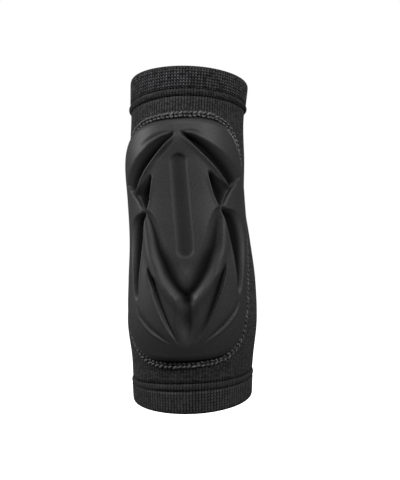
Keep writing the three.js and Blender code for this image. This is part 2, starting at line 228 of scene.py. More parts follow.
def knit_material(name, crown_colour, gap_shade, unevenness, low_ribs):
    """Black spun polyester yarn over elastane, knitted in a rib. To the eye it is a dull charcoal that
    never shines, with fine upright lines: each rib is a column of small V stitches, and the furrow
    beside it carries painted shade. A stitch is drawn 1.5 mm high, coarser than the real 1 mm, so that
    it shows. gap_shade is how much of the yarn's colour painted shade leaves in the gap between two
    stitches, unevenness how much lighter or darker single stitches are, and low_ribs the share of the
    furrows' painted shade that is left at the forearm end; it is full over the upper arm."""
    material, tree, shader = new_material(name)
    uv = add_node(tree, "ShaderNodeUVMap")
    place = add_node(tree, "ShaderNodeSeparateXYZ", {0: uv.outputs["UV"]})
    in_rib = add_node(tree, "ShaderNodeMath", {0: place.outputs["X"]}, operation="FRACT")
    off_crown = add_node(tree, "ShaderNodeMath", {0: in_rib.outputs[0], 1: 0.5}, operation="SUBTRACT")
    off_crown = add_node(tree, "ShaderNodeMath", {0: off_crown.outputs[0]}, operation="ABSOLUTE")
    slant = add_node(
        tree, "ShaderNodeMath",
        {0: off_crown.outputs[0], 1: STITCH_SLANT, 2: place.outputs["Y"]}, operation="MULTIPLY_ADD",
    )
    turn = add_node(tree, "ShaderNodeMath", {0: slant.outputs[0], 1: 2 * math.pi}, operation="MULTIPLY")
    strand = add_node(tree, "ShaderNodeMath", {0: turn.outputs[0]}, operation="SINE")
    position = add_node(tree, "ShaderNodeTexCoord")
    lint = add_node(
        tree, "ShaderNodeTexNoise",
        {
            "Vector": position.outputs["Object"],
            "Scale": 1 / (LINT_SPACING * MM),
            "Detail": 3.0,
            "Roughness": 0.6,
        },
    )
    height = add_node(
        tree, "ShaderNodeMath",
        {0: lint.outputs["Fac"], 1: LINT_SHARE, 2: strand.outputs[0]}, operation="MULTIPLY_ADD",
    )
    bump = add_node(
        tree, "ShaderNodeBump",
        {"Strength": 0.8, "Distance": STITCH_RELIEF * MM, "Height": height.outputs[0]},
    )
    shade = add_node(
        tree, "ShaderNodeMapRange",
        {"Value": off_crown.outputs[0], "From Min": 0.22, "From Max": 0.5},
        interpolation_type="SMOOTHSTEP",
    )
    # Painted shade by height: the furrows' painted shade is full over the upper arm and falls to
    # low_ribs at the forearm end.
    object_place = add_node(tree, "ShaderNodeSeparateXYZ", {0: position.outputs["Object"]})
    furrow_shade_by_height = add_node(
        tree, "ShaderNodeMapRange",
        {"Value": object_place.outputs["Z"], "From Min": -0.08, "From Max": 0.06, "To Min": low_ribs},
    )
    shade = add_node(
        tree, "ShaderNodeMath", {0: shade.outputs[0], 1: furrow_shade_by_height.outputs[0]}, operation="MULTIPLY",
    )
    yarn = add_node(
        tree, "ShaderNodeMix",
        {"Factor": shade.outputs[0], "A": linear(crown_colour), "B": linear("#000000")},
        data_type="RGBA",
    )
    # Painted shade in the gaps between stitches, down to gap_shade.
    between = add_node(
        tree, "ShaderNodeMapRange",
        {"Value": strand.outputs[0], "From Min": -0.8, "From Max": 0.5, "To Min": gap_shade},
    )
    stitch = add_node(tree, "ShaderNodeVectorMath", {0: uv.outputs["UV"]}, operation="FLOOR")
    chance = add_node(tree, "ShaderNodeTexWhiteNoise", {"Vector": stitch.outputs["Vector"]})
    lit = add_node(
        tree, "ShaderNodeMapRange",
        {
            "Value": chance.outputs["Value"],
            "To Min": 1 - unevenness,
            "To Max": 1 + BRIGHT_SHARE * unevenness,
        },
    )
    stitch_shade = add_node(
        tree, "ShaderNodeMath", {0: between.outputs[0], 1: lit.outputs[0]}, operation="MULTIPLY",
    )
    colour = add_node(
        tree, "ShaderNodeVectorMath",
        {0: yarn.outputs["Result"], "Scale": stitch_shade.outputs[0]}, operation="SCALE",
    )
    tree.links.new(colour.outputs["Vector"], shader.inputs["Base Color"])
    tree.links.new(bump.outputs["Normal"], shader.inputs["Normal"])
    shader.inputs["Roughness"].default_value = 0.9
    shader.inputs["Specular IOR Level"].default_value = 0.1
    shader.inputs["Sheen Weight"].default_value = 0.03
    shader.inputs["Sheen Roughness"].default_value = 0.5
    return material


def knitted_ring(name, outline, strays):
    """A closed ring of knit round the arm. The outline is a list of (height, rise, rib share) rows in
    millimetres, from the outside round to the inside. strays gives, for each joint or hem that the
    ring follows, its column of CUFF_STRAY and how far it is followed at each row."""
    rows = np.array(outline, float)
    piece, round_share, outline_share = new_grid(name, RIBS * STEPS_PER_RIB, len(rows) - 1)
    row = np.rint(outline_share * (len(rows) - 1)).astype(int)
    rise = rows[row, 1] + rows[row, 2] * RIB_HEIGHT * (rib_rise(round_share) - 0.5)
    turn = round_share * 360 - 180
    height = rows[row, 0].copy()
    for line, shares in strays:
        height += np.array(shares)[row] * smoothly(CUFF_STRAY, line, turn) * ELBOW_WIDTH
    move_vertices(piece, guard_points(height, np.radians(turn), rise))
    length = float(np.hypot(*np.diff(rows[:, :2], axis=0).T).sum())
    scale_uv(piece, RIBS, length / COURSE_SPACING)
    close_seams(piece)
    return piece


sleeve_low = LOWER_CUFF_LENGTH + SEAM_GAP
sleeve_high = SLEEVE_LENGTH - UPPER_CUFF_LENGTH - SEAM_GAP
outer_heights = np.linspace(sleeve_low, sleeve_high, SLEEVE_OUTER_ROWS)
inner_heights = np.linspace(sleeve_high, sleeve_low, SLEEVE_INNER_ROWS)
sleeve_outline = [(height, 0, 1) for height in outer_heights]
sleeve_outline += [(height, -KNIT_WALL, INNER_RIB_SHARE) for height in inner_heights]
sleeve_outline.append(sleeve_outline[0])
sleeve_heights = np.array([height for height, _, _ in sleeve_outline])
sleeve_strays = [
    (LOWER_JOINT, np.clip(1 - (sleeve_heights - sleeve_low) / LOWER_CUFF_LENGTH, 0, 1)),
    (UPPER_JOINT, np.clip(1 - (sleeve_high - sleeve_heights) / UPPER_CUFF_LENGTH, 0, 1)),
]
knit_sleeve = knitted_ring("sleeve_of_rib_knit", sleeve_outline, sleeve_strays)
rib_knit = knit_material(
    "black elastic rib knit", "#48484a", gap_shade=0.10, unevenness=0.50, low_ribs=0.5,
)
knit_sleeve.data.materials.append(rib_knit)
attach(knit_sleeve, "root")
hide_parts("knit_sleeve")


# Cuffs
# Each end of the tube is knitted on, turned in and stitched down, so it is a welt of two layers with
# a rounded hem, and a rolled bead shows on the outside where the turned edge is caught.
CUFF_WALL = 3.6
WELT_RISE = 0.8
JOINT_DIP = 0.5
UPPER_BEAD_RISE = 1.0
LOWER_BEAD_RISE = 0.25
BEAD_LENGTH = 4.4
BEAD_FULLNESS = 0.7
BEAD_RIB_SHARE = 0.4
HEM_RADIUS = 2.6
HEM_RIB_SHARE = 0.8

# The groove where the bead is stitched down: its depth, and how far past the bead its floor starts and
# ends and the welt begins.
GROOVE_DIP = 1.3
GROOVE_FLOOR = (0.2, 0.8)
WELT_START = 1.3


def cuff_outline(length, bead_rise):
    """Outline of a welt from the bead at its joint, up its outside, round its hem and down inside."""
    middle = WELT_RISE - CUFF_WALL / 2
    rows = []
    for share in np.linspace(0, 1, 13):
        bulge = math.sin(math.pi * share) ** BEAD_FULLNESS
        rise = WELT_RISE - JOINT_DIP + (bead_rise + JOINT_DIP) * bulge
        rows.append((share * BEAD_LENGTH, rise, BEAD_RIB_SHARE))
    for past_bead in GROOVE_FLOOR:
        rows.append((BEAD_LENGTH + past_bead, WELT_RISE - GROOVE_DIP, 1))
    for along in np.linspace(BEAD_LENGTH + WELT_START, length - HEM_RADIUS, 9):
        rows.append((along, WELT_RISE, 1))
    for turn in np.radians(np.linspace(90, -90, 13)[1:]):
        along = length - HEM_RADIUS * (1 - math.cos(turn))
        rows.append((along, middle + CUFF_WALL / 2 * math.sin(turn), HEM_RIB_SHARE))
    for along in np.linspace(length - HEM_RADIUS, 0, 8)[1:]:
        rows.append((along, WELT_RISE - CUFF_WALL, INNER_RIB_SHARE))
    rows.append(rows[0])
    return rows


def add_cuff(name, length, bead_rise, joint_height, way, strays, material, node):
    """One welt, from its joint with the sleeve to its hem: upwards (1) or downwards (-1)."""
    outline = cuff_outline(length, bead_rise)
    placed = [(joint_height + way * along, rise, ribs) for along, rise, ribs in outline]
    to_hem = np.array([along for along, _, _ in outline]) / length
    joint, hem = strays
    cuff = knitted_ring(name, placed, [(joint, 1 - to_hem), (hem, to_hem)])
    cuff.data.materials.append(material)
    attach(cuff, "root")
    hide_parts(node)
    return cuff


# The upper cuff has strong painted shade in the gaps between its stitches. The lower cuff has little,
# and shows its ribs more than its stitches.
upper_knit = knit_material(
    "black doubled rib knit", "#454547", gap_shade=0.02, unevenness=0.65, low_ribs=1.0,
)
lower_knit = knit_material(
    "black doubled rib knit, faint painted gap shade", "#3c3c3d", gap_shade=0.75, unevenness=0.30, low_ribs=0.9,
)
upper_cuff = add_cuff(
    "upper_cuff_welt", UPPER_CUFF_LENGTH, UPPER_BEAD_RISE, SLEEVE_LENGTH - UPPER_CUFF_LENGTH, 1,
    (UPPER_JOINT, UPPER_HEM), upper_knit, "upper_cuff",
)
lower_cuff = add_cuff(
    "lower_cuff_welt", LOWER_CUFF_LENGTH, LOWER_BEAD_RISE, LOWER_CUFF_LENGTH, -1,
    (LOWER_JOINT, LOWER_HEM), lower_knit, "lower_cuff",
)


# Elbow pad
# The pad is a sheet of soft closed-cell foam with a smooth jersey bonded to it, pressed hot in a mould
# that sinks the valleys round a raised lozenge and parts the petals below it. Its edge thins to a rim.
PAD_LENGTH = 161
PAD_WIDTH = 104
PAD_ABOVE_MIDDLE = 0.5
PAD_FROM_HEM = SLEEVE_LENGTH / 2 + PAD_ABOVE_MIDDLE - PAD_LENGTH / 2
PAD_THICKNESS = 10.5
PAD_EDGE_THICKNESS = 5.4
PAD_RIM = 1.2
PAD_LEAST_RISE = 1.5
PAD_EDGE_RADIUS = 5
PAD_GAP = 0.5
PAD_CORNER_POWER = 3.6
PAD_TWIST = math.radians(5)
PAD_TILT = math.radians(3.6)
PAD_FACES_ACROSS = 240
PAD_FACES_ALONG = 362
PAD_UNDER_RINGS = 5

# How wide the pad is on its two sides against its length, as shares of half its nominal width.
PAD_SIDES = [
    # along, left, right
    (0.0, 1.00, 0.93),
    (0.3, 0.95, 0.86),
    (0.6, 0.96, 0.93),
    (0.85, 1.02, 0.95),
    (1.0, 1.06, 0.94),
]

# The crease that parts the inner petals, which both halves share but for its painted shade, stronger on
# the right half.
INNER_PETAL = [
    # across, along, depth, inner width, outer width
    (0.442, 0.396, 0.01, 0.020, 0.020),
    (0.427, 0.362, 0.44, 0.060, 0.034),
    (0.396, 0.322, 0.52, 0.150, 0.034),
    (0.345, 0.264, 0.48, 0.190, 0.030),
    (0.285, 0.208, 0.40, 0.180, 0.026),
    (0.215, 0.155, 0.28, 0.130, 0.022),
    (0.110, 0.090, 0.05, 0.050, 0.018),
]

# The moulded creases of the pad, from the top down: on both halves where "side" is 0, and on the right
# or left half alone where it is 1 or -1. "shade" is how much painted shade darkens the cover with depth,
# standing in for the little light that comes into the crease. "inner" is the slope towards the pad's
# middle, "outer" the other one: how flat the crease's floor is on that side and how softly the slope
# runs out, both 1 for an even slope, then the height and width in millimetres of the bead along it. A
# row is one point of the crease: across, a share of half the pad's width; along, a share of its length
# from its lower end; depth, a share of its thickness; and the widths of its inner and outer slope, as
# shares of half the pad's width.
CREASES = {
    "upper valley": {
        "side": 0, "shade": 1.0, "inner": (1.0, 1.0, 1.2, 1.7), "outer": (1.1, 1.35, 0.0, 1.0),
        "rows": [
            (0.030, 0.936, 0.02, 0.018, 0.030),
            (0.080, 0.922, 0.36, 0.024, 0.050),
            (0.165, 0.898, 0.66, 0.028, 0.085),
            (0.273, 0.860, 0.80, 0.030, 0.140),
            (0.392, 0.812, 0.86, 0.030, 0.200),
            (0.494, 0.765, 0.90, 0.030, 0.240),
            (0.580, 0.718, 0.90, 0.030, 0.255),
            (0.745, 0.623, 0.84, 0.030, 0.245),
        ],
    },
    "facet": {
        "side": 0, "shade": 0.9, "inner": (1.0, 1.0, 0.4, 1.2), "outer": (1.0, 1.3, 0.0, 1.0),
        "rows": [
            (0.333, 0.771, 0.02, 0.020, 0.030),
            (0.350, 0.744, 0.56, 0.022, 0.070),
            (0.368, 0.706, 0.82, 0.022, 0.170),
            (0.394, 0.668, 0.86, 0.022, 0.250),
            (0.430, 0.630, 0.66, 0.020, 0.120),
        ],
    },
    "flap crease": {
        "side": 0, "shade": 2.6, "inner": (1.0, 1.5, 0.0, 1.0), "outer": (1.0, 1.0, 0.0, 1.0),
        "rows": [
            (0.445, 0.622, 0.08, 0.020, 0.024),
            (0.500, 0.655, 0.18, 0.026, 0.024),
            (0.553, 0.681, 0.20, 0.028, 0.024),
            (0.620, 0.704, 0.18, 0.026, 0.024),
            (0.700, 0.722, 0.02, 0.020, 0.020),
        ],
    },
    "lower valley": {
        "side": 0, "shade": 1.2, "inner": (1.0, 1.0, 0.5, 1.2), "outer": (1.1, 1.3, 0.0, 1.0),
        "rows": [
            (0.447, 0.612, 0.24, 0.026, 0.060),
            (0.485, 0.580, 0.76, 0.024, 0.190),
            (0.514, 0.540, 0.90, 0.026, 0.230),
            (0.556, 0.471, 0.90, 0.026, 0.210),
            (0.598, 0.400, 0.84, 0.026, 0.145),
            (0.626, 0.335, 0.64, 0.024, 0.085),
            (0.632, 0.262, 0.02, 0.020, 0.040),
        ],
    },
    "lower point": {
        "side": 0, "shade": 1.15, "inner": (1.0, 1.0, 0.0, 1.0), "outer": (1.0, 1.9, 1.4, 3.2),
        "rows": [
            (0.437, 0.622, 0.14, 0.040, 0.030),
            (0.405, 0.595, 0.24, 0.080, 0.050),
            (0.368, 0.541, 0.31, 0.115, 0.070),
            (0.327, 0.466, 0.37, 0.145, 0.085),
            (0.268, 0.414, 0.42, 0.150, 0.090),
            (0.208, 0.364, 0.42, 0.155, 0.105),
            (0.118, 0.313, 0.46, 0.135, 0.100),
            (0.036, 0.276, 0.48, 0.110, 0.095),
            (-0.080, 0.225, 0.40, 0.100, 0.090),
        ],
    },
    "inner petal on the right": {
        "side": 1, "shade": 1.35, "inner": (1.0, 3.0, 0.0, 1.0), "outer": (1.0, 1.2, 0.3, 0.8),
        "rows": INNER_PETAL,
    },
    "inner petal on the left": {
        "side": -1, "shade": 0.40, "inner": (1.0, 3.0, 0.0, 1.0), "outer": (1.0, 1.2, 0.3, 0.8),
        "rows": INNER_PETAL,
    },
    "outer petal": {
        "side": 0, "shade": 1.0, "inner": (1.0, 2.2, 0.0, 1.0), "outer": (1.0, 1.0, 0.5, 0.8),
        "rows": [
            (0.640, 0.240, 0.01, 0.030, 0.016),
            (0.595, 0.203, 0.09, 0.070, 0.020),
            (0.540, 0.178, 0.15, 0.080, 0.020),
            (0.470, 0.153, 0.16, 0.080, 0.020),
            (0.390, 0.131, 0.15, 0.075, 0.020),
            (0.300, 0.109, 0.09, 0.060, 0.018),
            (0.195, 0.086, 0.01, 0.030, 0.016),
        ],
    },
    "pleat in the left arm": {
        "side": -1, "shade": 1.0, "inner": (1.0, 1.2, 0.0, 1.0), "outer": (1.0, 1.2, 0.2, 0.8),
        "rows": [
            (0.030, 0.912, 0.01, 0.020, 0.016),
            (0.095, 0.888, 0.10, 0.034, 0.018),
            (0.190, 0.856, 0.12, 0.036, 0.018),
            (0.290, 0.818, 0.01, 0.020, 0.016),
        ],
    },
    "pleat over the left shoulder": {
        "side": -1, "shade": 1.0, "inner": (1.0, 1.0, 0.5, 1.8), "outer": (1.0, 1.6, 0.0, 1.0),
        "rows": [
            (0.040, 0.936, 0.01, 0.016, 0.020),
            (0.170, 0.934, 0.09, 0.016, 0.050),
            (0.310, 0.919, 0.11, 0.016, 0.060),
            (0.480, 0.896, 0.01, 0.016, 0.030),
        ],
    },
    "pleat over the right shoulder": {
        "side": 1, "shade": 1.0, "inner": (1.0, 1.0, 0.3, 1.4), "outer": (1.0, 1.6, 0.0, 1.0),
        "rows": [
            (0.050, 0.936, 0.01, 0.016, 0.020),
            (0.170, 0.935, 0.07, 0.016, 0.040),
            (0.300, 0.922, 0.01, 0.016, 0.030),
        ],
    },
}

# The flap whose raised upper edge closes the lower end of the upper valley, from its inner end out.
FLAP = [
    (0.385, 0.590),
    (0.430, 0.626),
    (0.486, 0.659),
    (0.540, 0.685),
    (0.605, 0.708),
    (0.690, 0.727),
    (1.100, 0.790),
]
FLAP_STEP = 0.012

# How far past its slope's end a bead's crown lies, as a share of its width, and how deep in millimetres
# another crease has to be where a bead is lost in it.
BEAD_PAST_SLOPE = 0.3
BEAD_LOST_DEPTH = 2

# Bands along the pad's middle: where they start and end along the pad, with how far they fade at both
# ends, their half width and soft edge as shares of half the pad's width, and their depth as one of
# its thickness. The field is the plain sunk one with round ends. All three carry painted shade, a
# share of what a crease of their depth gets.
GROOVE = {"start": (0.06, 0.11), "end": (0.285, 0.04), "width": 0.02, "soft": 0.11, "depth": 0.44}
TROUGH = {"start": (0.30, 0.10), "end": (0.92, 0.10), "width": 0.02, "soft": 0.40, "depth": 0.28}
FIELD = {"start": 0.430, "end": 0.845, "width": 0.085, "soft": 0.045, "depth": 0.15}
BAND_ROUNDNESS = 1.2
BAND_PAINTED_SHADE = 0.65

# How wide the two halves of the V round into each other on the pad's middle, in millimetres.
MIDDLE_ROUNDING = 1.6

# The painted shadow line along the rim, where the cover goes under into the gap at the stitch band:
# where it starts between the pad's middle (0) and its rim (1), and how softly.
RIM_LINE = 0.975
RIM_LINE_SOFT = 0.02


def smooth_step(x):
    """Rises smoothly from 0 at 0 to 1 at 1."""
    x = np.clip(x, 0, 1)
    return x * x * (3 - 2 * x)


def pad_points(x, y, rise):
    """Places on the pad in metres: x across from its middle, y along from its lower end, and the rise
    above the knit, in millimetres."""
    height = PAD_FROM_HEM + y + x * math.tan(PAD_TILT)
    half_width, half_depth = half_sizes(height)
    turned = PAD_TWIST * (0.5 - y / PAD_LENGTH)
    return guard_points(height, x / ((half_width + half_depth) / 2) + turned, rise)


def crease_line(rows, steps):
    """A crease's rows with smooth steps between them, placed in millimetres."""
    numbered = [(i, *row) for i, row in enumerate(rows)]
    at = np.linspace(0, len(rows) - 1, (len(rows) - 1) * steps + 1)
    columns = np.stack([smoothly(numbered, c, at) for c in range(1, len(numbered[0]))], axis=1)
    columns[:, 0] *= PAD_WIDTH / 2
    columns[:, 1] *= PAD_LENGTH
    return columns


def nearest_on(line, x, y):
    """For each place: its distance from a line, whether it lies on the line's left, and the line's
    other columns where it is nearest."""
    best = np.full(x.shape, np.inf)
    left = np.zeros(x.shape, bool)
    there = np.zeros((len(x), line.shape[1] - 2))
    for a, b in zip(line[:-1], line[1:]):
        dx, dy = b[0] - a[0], b[1] - a[1]
        t = np.clip(((x - a[0]) * dx + (y - a[1]) * dy) / (dx * dx + dy * dy), 0, 1)
        ex, ey = x - a[0] - t * dx, y - a[1] - t * dy
        distance = np.hypot(ex, ey)
        nearer = distance < best
        best[nearer] = distance[nearer]
        left[nearer] = (dx * ey - dy * ex > 0)[nearer]
        there[nearer] = (a[2:] + (b[2:] - a[2:]) * t[:, None])[nearer]
    return best, left, there


def middle_band(band, side, along):
    """Share of a band's depth at a place: full in its middle, none outside its soft edges."""
    across = (1 - np.clip((side - band["width"]) / band["soft"], 0, 1)) ** BAND_ROUNDNESS
    start, start_fade = band["start"]
    end, end_fade = band["end"]
    start = smooth_step((along - start) / start_fade)
    end = smooth_step((end - along) / end_fade)
    return band["depth"] * across * start * end


def sunk_field(side, y):
    """The plain sunk field down the middle of the panel, a long soft hollow with round ends."""
    half_width, soft = FIELD["width"] * PAD_WIDTH / 2, FIELD["soft"] * PAD_WIDTH / 2
    low, high = FIELD["start"] * PAD_LENGTH + half_width, FIELD["end"] * PAD_LENGTH - half_width
    past_end = np.maximum(np.maximum(low - y, y - high), 0)
    off = np.hypot(side, past_end)
    return FIELD["depth"] * (1 - smooth_step((off - half_width) / soft + 0.5))


def pressed_slope(distance, reach, depth, side):
    """Depth of one side of a crease, and the height of the bead along it, in millimetres."""
    bowl, fade, bead_height, bead_width = side
    pressed = depth * PAD_THICKNESS * (1 - np.clip(distance / reach, 0, 1) ** bowl) ** fade
    bead = bead_height * np.exp(-((distance - reach) / bead_width - BEAD_PAST_SLOPE) ** 2)
    return pressed, bead


def pressed_depth(x, y):
    """How deep the mould has pressed the pad's face, in millimetres, less its raised beads, and how dark
    painted shade makes the cover there, from 0 to 1."""
    side, along = np.abs(x), y / PAD_LENGTH
    flap_distance, above_flap, _ = nearest_on(crease_line(FLAP, steps=4), side, y)
    signed = np.where(above_flap, flap_distance, -flap_distance)
    above = smooth_step(0.5 + signed / (2 * FLAP_STEP * PAD_WIDTH / 2))
    deepest = np.zeros(x.shape)
    # Painted shade in the creases, growing with their depth.
    crease_painted_shade = np.zeros(x.shape)
    raised = np.zeros(x.shape)
    for name, crease in CREASES.items():
        place = x * crease["side"] if crease["side"] else side
        if name == "lower point":
            place = np.hypot(side, MIDDLE_ROUNDING)
        distance, outside, there = nearest_on(crease_line(crease["rows"], steps=6), place, y)
        depth, inward, outward = there.T
        inner = pressed_slope(distance, inward * PAD_WIDTH / 2, depth, crease["inner"])
        outer = pressed_slope(distance, outward * PAD_WIDTH / 2, depth, crease["outer"])
        pressed, bead = np.where(outside, outer, inner)
        bead = bead * smooth_step(depth / max(row[2] for row in crease["rows"]))
        if name in ("upper valley", "facet"):
            pressed = pressed * above
            bead = bead * above
        if name == "flap crease":
            pressed = pressed * (1 - above)
        deepest = np.maximum(deepest, pressed)
        crease_painted_shade = np.maximum(crease_painted_shade, crease["shade"] * pressed / PAD_THICKNESS)
        raised = np.maximum(raised, bead)
    across = side / (PAD_WIDTH / 2)
    sunk = middle_band(GROOVE, across, along) + middle_band(TROUGH, across, along) + sunk_field(side, y)
    depth = deepest + sunk * PAD_THICKNESS - raised * (1 - np.clip(deepest / BEAD_LOST_DEPTH, 0, 1))
    return depth, np.clip(crease_painted_shade + BAND_PAINTED_SHADE * sunk, 0, 1)


def pad_place(p, q):
    """Where a place of a square, from -1 to 1 both ways, lies on the pad's rounded outline."""
    size = np.maximum(np.abs(p), np.abs(q))
    power = PAD_CORNER_POWER
    norm = np.maximum((np.abs(p) ** power + np.abs(q) ** power) ** (1 / power), 1e-9)
    side, along = p * size / norm, 0.5 + 0.5 * q * size / norm
    outer_along = 0.5 + 0.5 * q / norm
    width = np.where(p < 0, smoothly(PAD_SIDES, 1, outer_along), smoothly(PAD_SIDES, 2, outer_along))
    return side * width * PAD_WIDTH / 2, along * PAD_LENGTH


def pad_rise(p, q, depth):
    """Height of the pad's face above the knit, in millimetres, where it is pressed to this depth."""
    share = np.maximum(np.abs(p), np.abs(q))
    centred = share < 1e-6
    way_p = np.where(centred, 1, p / np.maximum(share, 1e-6))
    way_q = np.where(centred, 0, q / np.maximum(share, 1e-6))
    edge_x, edge_y = pad_place(way_p, way_q)
    from_edge = (1 - share) * np.hypot(edge_x, edge_y - PAD_LENGTH / 2)
    into_edge = np.clip(from_edge / PAD_EDGE_RADIUS, 0, 1)
    rounded = np.sqrt(1 - (1 - into_edge) ** 2)
    dome = PAD_EDGE_THICKNESS + (PAD_THICKNESS - PAD_EDGE_THICKNESS) * (1 - share**2)
    full = np.maximum(PAD_LEAST_RISE, dome - depth)
    return PAD_RIM + (full - PAD_RIM) * rounded


pad, pad_p, pad_q = new_grid("moulded_foam_pad", PAD_FACES_ACROSS, PAD_FACES_ALONG)
pad_p, pad_q = 2 * pad_p - 1, 2 * pad_q - 1
pad_x, pad_y = pad_place(pad_p, pad_q)
pad_depth, pad_painted_shade = pressed_depth(pad_x, pad_y)
move_vertices(pad, pad_points(pad_x, pad_y, pad_rise(pad_p, pad_q, pad_depth)))
# The "pressed" attribute holds painted shade: dark in the creases and sunk bands by their depth, and a
# painted shadow line along the rim.
rim_painted_shadow = smooth_step((np.maximum(np.abs(pad_p), np.abs(pad_q)) - RIM_LINE) / RIM_LINE_SOFT)
painted_shade_layer = pad.data.attributes.new("pressed", "FLOAT", "POINT")
painted_shade_layer.data.foreach_set("value", np.maximum(pad_painted_shade, rim_painted_shadow))

# The rim is turned under, and the back lies flat on the knit, in rings that close at its middle.
bpy.ops.object.mode_set(mode="EDIT")
bpy.ops.mesh.select_all(action="DESELECT")
bpy.ops.mesh.select_mode(type="EDGE")
bpy.ops.mesh.select_non_manifold()
bpy.ops.object.mode_set(mode="OBJECT")
rim = np.array([vertex.index for vertex in pad.data.vertices if vertex.select])
rim_x, rim_y = pad_x[rim], pad_y[rim]
for share in np.linspace(1, 0, PAD_UNDER_RINGS):
    bpy.ops.object.mode_set(mode="EDIT")
    bpy.ops.mesh.extrude_edges_move()
    bpy.ops.object.mode_set(mode="OBJECT")
    points = np.empty(len(pad.data.vertices) * 3)
    pad.data.vertices.foreach_get("co", points)
    points = points.reshape(-1, 3)
    ring = np.array([vertex.index for vertex in pad.data.vertices if vertex.select])
    ring_x = rim_x * share
    ring_y = PAD_LENGTH / 2 + (rim_y - PAD_LENGTH / 2) * share
    points[ring] = pad_points(ring_x, ring_y, np.full(len(rim), PAD_GAP))
    move_vertices(pad, points)
close_seams(pad)

# The cover is drawn tight over the foam, so it rounds every edge a little.
relaxed = pad.modifiers.new("cover drawn over the foam's edges", "SMOOTH")
relaxed.factor = 0.5
relaxed.iterations = 2
bpy.ops.object.modifier_apply(modifier=relaxed.name)

# The cover is a brushed polyester jersey, bonded to the foam in the hot mould. To the eye it is a smooth
# charcoal with a faint nap and slow waves, a soft gleam on its crests and none in its creases. Painted
# shade takes it nearly black in the deepest creases and darkens the sunk bands, a painted shadow line
# runs along its rim, and the roughness rises with that painted shade. The nap's grain is drawn 0.7 mm
# wide, coarser than the real one, so that it shows.
NAP_GRAIN = 0.7
COVER_WAVE = 17
WAVE_SHARE = 3.0
COVER_RELIEF = 0.12

pad_cover, cover_tree, cover_shader = new_material("charcoal bonded jersey")
cover_position = add_node(cover_tree, "ShaderNodeTexCoord")
cover_nap = add_node(
    cover_tree, "ShaderNodeTexNoise",
    {
        "Vector": cover_position.outputs["Object"],
        "Scale": 1 / (NAP_GRAIN * MM),
        "Detail": 2.0,
        "Roughness": 0.5,
    },
)
cover_waves = add_node(
    cover_tree, "ShaderNodeTexNoise",
    {
        "Vector": cover_position.outputs["Object"],
        "Scale": 1 / (COVER_WAVE * MM),
        "Detail": 2.0,
        "Roughness": 0.5,
    },
)
cover_height = add_node(
    cover_tree, "ShaderNodeMath",
    {0: cover_waves.outputs["Fac"], 1: WAVE_SHARE, 2: cover_nap.outputs["Fac"]},
    operation="MULTIPLY_ADD",
)
cover_bump = add_node(
    cover_tree, "ShaderNodeBump",
    {"Strength": 0.5, "Distance": COVER_RELIEF * MM, "Height": cover_height.outputs[0]},
)
# Painted shade from the "pressed" attribute takes the cover towards near black in the creases, sunk
# bands and rim line, and makes it rougher there.
cover_painted_shade_attribute = add_node(cover_tree, "ShaderNodeAttribute", attribute_name="pressed")
cover_painted_shade = add_node(
    cover_tree, "ShaderNodeMapRange",
    {"Value": cover_painted_shade_attribute.outputs["Fac"], "From Min": 0.08, "From Max": 0.52},
    interpolation_type="SMOOTHSTEP",
)
cover_matt = add_node(
    cover_tree, "ShaderNodeMapRange",
    {"Value": cover_painted_shade.outputs[0], "From Max": 0.6, "To Min": 0.52},
)
cover_grain = add_node(
    cover_tree, "ShaderNodeMapRange",
    {"Value": cover_nap.outputs["Fac"], "From Min": 0.35, "From Max": 0.65},
)
cover_open = add_node(
    cover_tree, "ShaderNodeMix",
    {"Factor": cover_grain.outputs[0], "A": linear("#252525"), "B": linear("#303031")},
    data_type="RGBA",
)
cover_colour = add_node(
    cover_tree, "ShaderNodeMix",
    {"Factor": cover_painted_shade.outputs[0], "A": cover_open.outputs["Result"], "B": linear("#030303")},
    data_type="RGBA",
)
cover_tree.links.new(cover_colour.outputs["Result"], cover_shader.inputs["Base Color"])
cover_tree.links.new(cover_bump.outputs["Normal"], cover_shader.inputs["Normal"])
cover_tree.links.new(cover_matt.outputs[0], cover_shader.inputs["Roughness"])
cover_shader.inputs["Specular IOR Level"].default_value = 0.2
cover_shader.inputs["Sheen Weight"].default_value = 0.03
cover_shader.inputs["Sheen Roughness"].default_value = 0.4
pad.data.materials.append(pad_cover)
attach(pad, "root")
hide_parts("elbow_pad")


# Stitch band
# The pad's edge is held down by a flat band of overlock stitches: a strip of pressed knit, a row of
# short stitches next to the pad and a plaited row of slanting threads outside it.
BAND_THICKNESS = 0.8
STRIP_STEPS = 480
STRIP_RIB = 2
STRIP_COURSES = 4
THREAD_WIDTH = 1.5
THREAD_BOW = 0.35
EDGE_SAMPLES = 1440

# The strip's section: how far outside the pad's edge, and how far above the knit.
STRIP_OUTLINE = [
    (0.8, PAD_GAP),
    (0.8, PAD_GAP + 0.4),
    (1.3, PAD_GAP + BAND_THICKNESS),
    (3.2, PAD_GAP + BAND_THICKNESS),
    (4.4, PAD_GAP + 0.55),
    (4.9, PAD_GAP + 0.1),
    (4.9, PAD_GAP),
    (0.8, PAD_GAP),
]

# The two rows of threads. "off" is how far outside the pad's edge the row runs, "lean" how far a stitch
# is turned from it, and "lift" how high its middle lies on the strip.
DASHES = {"off": 1.2, "pitch": 3.1, "length": 2.5, "lean": 0, "lift": 0.2}
PLAIT = {"off": 3.4, "pitch": 3.1, "length": 4.0, "lean": math.radians(32), "lift": 0.25}

# How unevenly the stitches are made: their places in millimetres, their turns in radians and their
# lengths as a share.
PLACE_STRAY = 0.16
TURN_STRAY = 0.16
LENGTH_STRAY = 0.12


